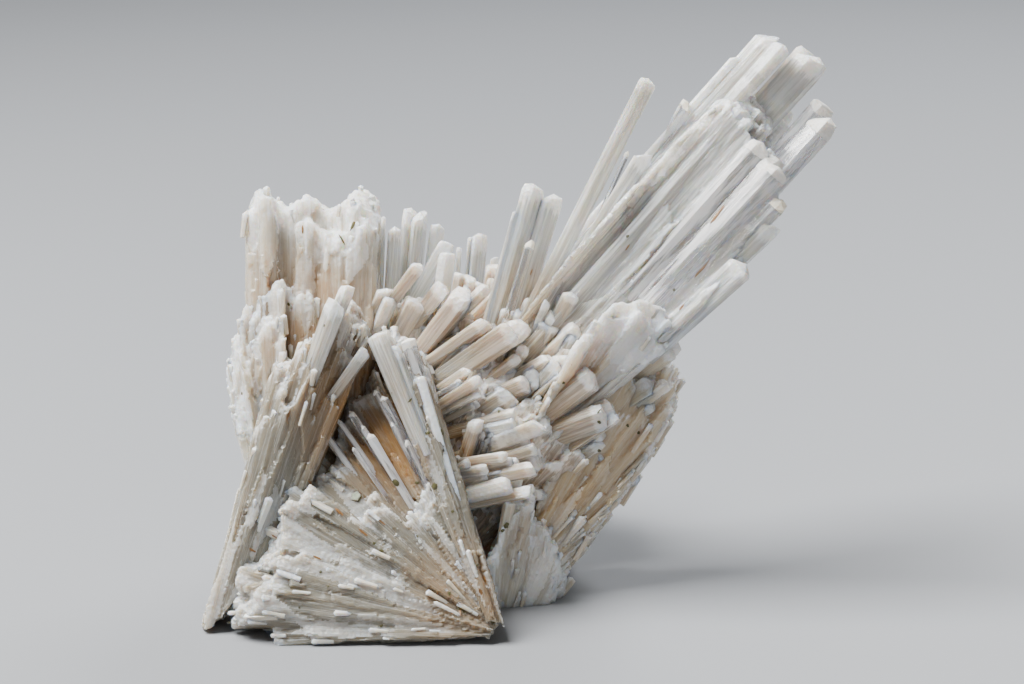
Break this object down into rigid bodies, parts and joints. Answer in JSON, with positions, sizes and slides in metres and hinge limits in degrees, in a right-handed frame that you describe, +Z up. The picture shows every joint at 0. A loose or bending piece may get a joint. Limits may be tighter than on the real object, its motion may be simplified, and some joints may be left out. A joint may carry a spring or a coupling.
{
  "type": "scolecite specimen",
  "caption": "Mineral specimen: radiating sprays of long milky to clear prismatic crystals grown into one cluster, one spray standing tall to the right.",
  "frame": {"origin": "on the ground, under the middle of the specimen's box", "axes": "+Z up, +X to the right and +Y away from the viewer, as the specimen is pictured"},
  "size_m": [0.0884, 0.0602, 0.0773],
  "materials": {
    "scolecite": "vitreous to silky, milky white and partly clear, warm amber in its recesses"
  },
  "bodies": {
    "root": {"scolecite": "scolecite"}
  },
  "joints": []
}
